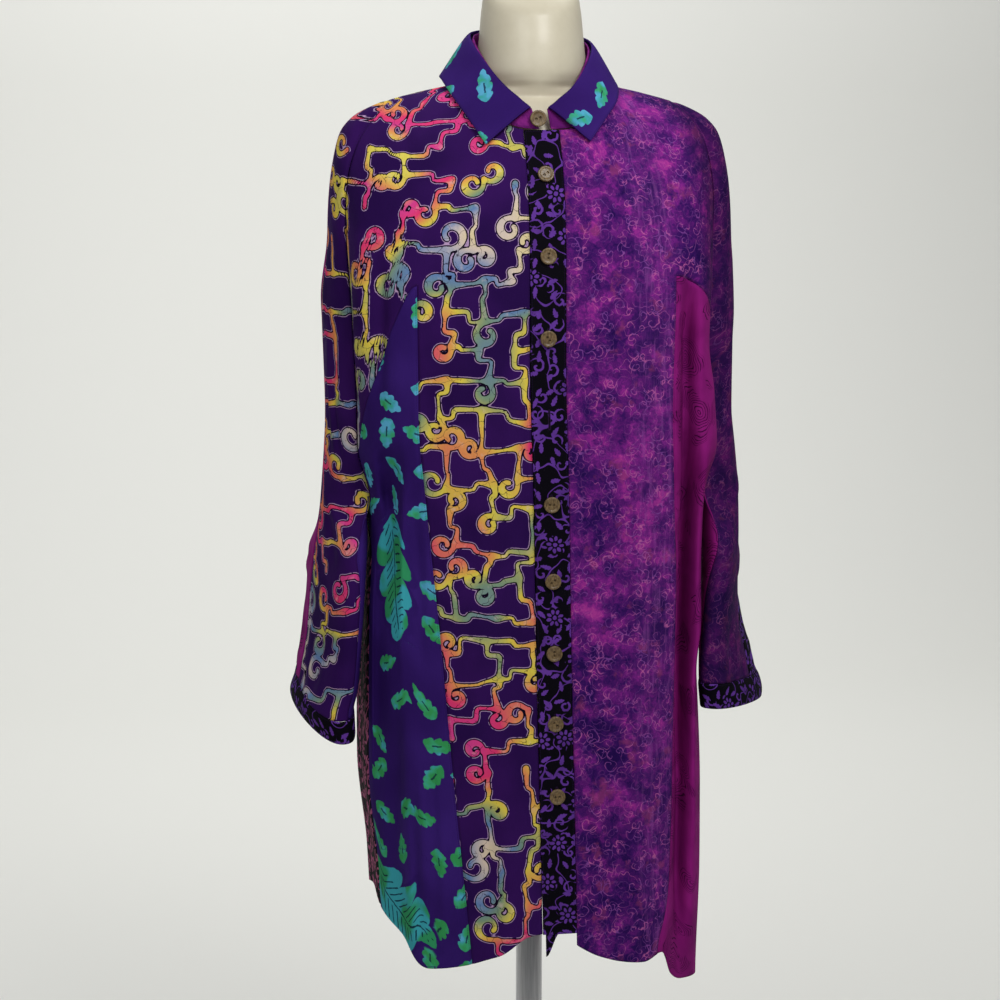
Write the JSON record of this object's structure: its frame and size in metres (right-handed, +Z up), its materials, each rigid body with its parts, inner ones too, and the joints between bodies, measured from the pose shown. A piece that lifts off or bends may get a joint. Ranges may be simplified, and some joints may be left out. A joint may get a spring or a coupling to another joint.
{
  "type": "batik shirt dress on a dress form",
  "caption": "Knee-length long-sleeved button-front shirt dress in patchwork batik prints, worn by a limbless dress form with a cream neck on a round-based pole.",
  "frame": {"origin": "centre of the underside of the stand's round base", "axes": "+Z up; the dress's front faces -Y; +X is towards the wearer's left"},
  "size_m": [0.5044, 0.33, 1.523],
  "materials": {
    "lattice_print": "crinkled rayon, dyed",
    "leaf_print": "smooth rayon, dyed",
    "scroll_print": "crinkled rayon, dyed",
    "contour_print": "smooth rayon, dyed",
    "black_floral_print": "smooth rayon, dyed",
    "black_pink_print": "smooth rayon, dyed",
    "stand_cloth": "smooth rayon, dyed",
    "coconut_button": "polished coconut shell",
    "form_plastic": "glossy cream",
    "stand_metal": "satin"
  },
  "bodies": {
    "root": {"right_front": "lattice_print", "right_side_panel": "leaf_print", "right_sleeve_front": "lattice_print", "right_sleeve_back": "contour_print", "right_sleeve_under": "leaf_print", "right_cuff": "black_floral_print", "left_front": "scroll_print", "left_side_panel": "contour_print", "left_sleeve_front": "scroll_print", "left_sleeve_back": "black_floral_print", "left_sleeve_under": "contour_print", "left_cuff": "black_floral_print", "back": "black_pink_print", "placket": "black_floral_print", "under_placket": "black_floral_print", "collar_stand": "stand_cloth", "collar": "leaf_print", "button_1": "coconut_button", "button_2": "coconut_button", "button_3": "coconut_button", "button_4": "coconut_button", "button_5": "coconut_button", "button_6": "coconut_button", "button_7": "coconut_button", "button_8": "coconut_button", "button_stand": "coconut_button", "form_body": "form_plastic", "base": "stand_metal", "pole": "stand_metal"}
  },
  "joints": []
}
